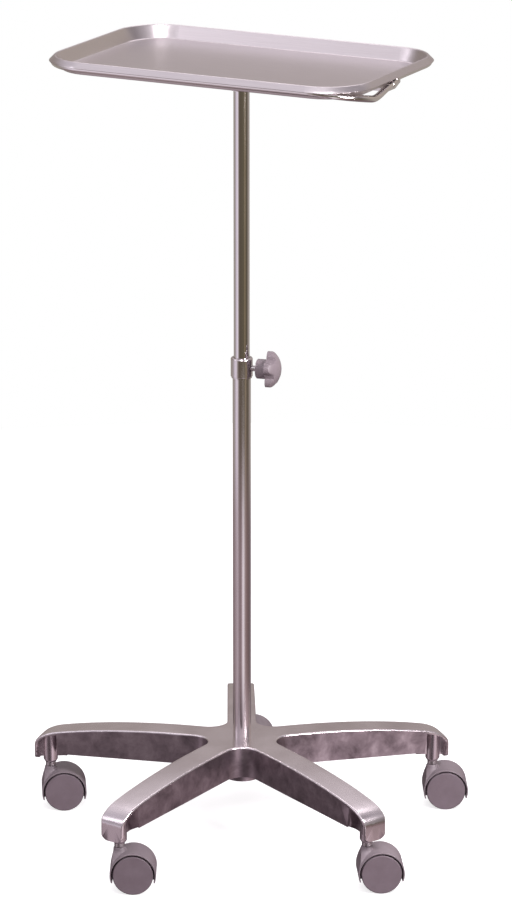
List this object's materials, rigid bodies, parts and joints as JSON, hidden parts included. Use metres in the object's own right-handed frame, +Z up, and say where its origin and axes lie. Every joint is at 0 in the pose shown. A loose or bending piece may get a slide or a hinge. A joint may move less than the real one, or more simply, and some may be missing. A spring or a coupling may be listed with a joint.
{
  "type": "instrument cart",
  "caption": "Wheeled instrument stand with a swivelling caster base, a clamped height-adjustable column and a lift-off rounded rectangular metal tray.",
  "frame": {"origin": "on the floor, under the column axis", "axes": "+Z up along the column, +X along the long side of the tray, +Y along its short side"},
  "size_m": [0.6237, 0.6153, 1.1223],
  "materials": {
    "cast_aluminium": "polished top faces, duller as-cast sides",
    "chrome": "bright plated tube and rod",
    "stainless": "satin brushed sheet",
    "steel": "plain zinc-bright steel",
    "nylon": "natural nylon",
    "knob_plastic": "moulded grey plastic, soft sheen",
    "hood_plastic": "moulded grey plastic",
    "wheel_plastic": "moulded darker grey plastic"
  },
  "bodies": {
    "base": {"star_base": "cast_aluminium", "column_tube": "chrome", "column_foot_plug": "steel", "column_bolt": "steel", "column_washer": "steel", "clamp_collar": "chrome", "guide_bushing": "nylon", "caster_1_stem": "steel", "caster_1_grip_ring": "steel", "caster_2_stem": "steel", "caster_2_grip_ring": "steel", "caster_3_stem": "steel", "caster_3_grip_ring": "steel", "caster_4_stem": "steel", "caster_4_grip_ring": "steel", "caster_5_stem": "steel", "caster_5_grip_ring": "steel"},
    "mast_glide": {"mast_end_glide": "nylon"},
    "mast": {"mast_tube": "chrome", "frame_socket": "chrome", "socket_set_screw": "steel", "frame_centre_plate": "chrome", "frame_cross_bar": "chrome", "tray_frame_ring": "chrome"},
    "tray": {"instrument_tray": "stainless"},
    "clamp_pad": {"clamp_pad": "nylon"},
    "clamp_knob": {"clamp_knob": "knob_plastic", "clamp_stud": "steel"},
    "caster_1": {"caster_1_hood": "hood_plastic", "caster_1_axle": "steel"},
    "caster_1_roller_a": {"caster_1_wheel_a": "wheel_plastic"},
    "caster_1_roller_b": {"caster_1_wheel_b": "wheel_plastic"},
    "caster_2": {"caster_2_hood": "hood_plastic", "caster_2_axle": "steel"},
    "caster_2_roller_a": {"caster_2_wheel_a": "wheel_plastic"},
    "caster_2_roller_b": {"caster_2_wheel_b": "wheel_plastic"},
    "caster_3": {"caster_3_hood": "hood_plastic", "caster_3_axle": "steel"},
    "caster_3_roller_a": {"caster_3_wheel_a": "wheel_plastic"},
    "caster_3_roller_b": {"caster_3_wheel_b": "wheel_plastic"},
    "caster_4": {"caster_4_hood": "hood_plastic", "caster_4_axle": "steel"},
    "caster_4_roller_a": {"caster_4_wheel_a": "wheel_plastic"},
    "caster_4_roller_b": {"caster_4_wheel_b": "wheel_plastic"},
    "caster_5": {"caster_5_hood": "hood_plastic", "caster_5_axle": "steel"},
    "caster_5_roller_a": {"caster_5_wheel_a": "wheel_plastic"},
    "caster_5_roller_b": {"caster_5_wheel_b": "wheel_plastic"}
  },
  "joints": [
    {"name": "mast_height", "type": "slide", "parent": "base", "child": "mast_glide", "axis": [0, 0, 1], "range_m": [-0.345, 0.105]},
    {"name": "mast_turn", "type": "hinge", "parent": "mast_glide", "child": "mast", "pos_m": [0, 0, 0.58], "axis": [0, 0, 1], "continuous": true},
    {"name": "tray_lift", "type": "slide", "parent": "mast", "child": "tray", "axis": [0, 0, 1], "range_m": [0, 0.15]},
    {"name": "clamp_feed", "type": "slide", "parent": "base", "child": "clamp_pad", "axis": [0.9781, 0.2079, 0], "range_m": [-0.00016, 0.00125]},
    {"name": "knob_turn", "type": "hinge", "parent": "clamp_pad", "child": "clamp_knob", "pos_m": [0.03913, 0.00832, 0.681], "axis": [0.9781, 0.2079, 0], "range_deg": [-45, 360]},
    {"name": "caster_1_swivel", "type": "hinge", "parent": "base", "child": "caster_1", "pos_m": [-0.13377, 0.25697, 0.06], "axis": [0, 0, 1], "continuous": true},
    {"name": "caster_1_roll_a", "type": "hinge", "parent": "caster_1", "child": "caster_1_roller_a", "pos_m": [-0.11741, 0.26603, 0.028], "axis": [-0.4848, 0.8746, 0], "continuous": true},
    {"name": "caster_1_roll_b", "type": "hinge", "parent": "caster_1", "child": "caster_1_roller_b", "pos_m": [-0.11741, 0.26603, 0.028], "axis": [-0.4848, 0.8746, 0], "continuous": true},
    {"name": "caster_2_swivel", "type": "hinge", "parent": "base", "child": "caster_2", "pos_m": [-0.28573, -0.04781, 0.06], "axis": [0, 0, 1], "continuous": true},
    {"name": "caster_2_roll_a", "type": "hinge", "parent": "caster_2", "child": "caster_2_roller_a", "pos_m": [-0.26961, -0.03832, 0.028], "axis": [-0.5075, 0.8616, 0], "continuous": true},
    {"name": "caster_2_roll_b", "type": "hinge", "parent": "caster_2", "child": "caster_2_roller_b", "pos_m": [-0.26961, -0.03832, 0.028], "axis": [-0.5075, 0.8616, 0], "continuous": true},
    {"name": "caster_3_swivel", "type": "hinge", "parent": "base", "child": "caster_3", "pos_m": [-0.04282, -0.28652, 0.06], "axis": [0, 0, 1], "continuous": true},
    {"name": "caster_3_roll_a", "type": "hinge", "parent": "caster_3", "child": "caster_3_roller_a", "pos_m": [-0.02609, -0.27817, 0.028], "axis": [-0.4462, 0.8949, 0], "continuous": true},
    {"name": "caster_3_roll_b", "type": "hinge", "parent": "caster_3", "child": "caster_3_roller_b", "pos_m": [-0.02609, -0.27817, 0.028], "axis": [-0.4462, 0.8949, 0], "continuous": true},
    {"name": "caster_4_swivel", "type": "hinge", "parent": "base", "child": "caster_4", "pos_m": [0.25926, -0.12926, 0.06], "axis": [0, 0, 1], "continuous": true},
    {"name": "caster_4_roll_a", "type": "hinge", "parent": "caster_4", "child": "caster_4_roller_a", "pos_m": [0.27537, -0.11977, 0.028], "axis": [-0.5075, 0.8616, 0], "continuous": true},
    {"name": "caster_4_roll_b", "type": "hinge", "parent": "caster_4", "child": "caster_4_roller_b", "pos_m": [0.27537, -0.11977, 0.028], "axis": [-0.5075, 0.8616, 0], "continuous": true},
    {"name": "caster_5_swivel", "type": "hinge", "parent": "base", "child": "caster_5", "pos_m": [0.20305, 0.20663, 0.06], "axis": [0, 0, 1], "continuous": true},
    {"name": "caster_5_roll_a", "type": "hinge", "parent": "caster_5", "child": "caster_5_roller_a", "pos_m": [0.21949, 0.21555, 0.028], "axis": [-0.4772, 0.8788, 0], "continuous": true},
    {"name": "caster_5_roll_b", "type": "hinge", "parent": "caster_5", "child": "caster_5_roller_b", "pos_m": [0.21949, 0.21555, 0.028], "axis": [-0.4772, 0.8788, 0], "continuous": true}
  ],
  "couplings": [
    {"joint": "knob_turn", "follows": "clamp_feed", "rad_per_m": 5026.5}
  ]
}
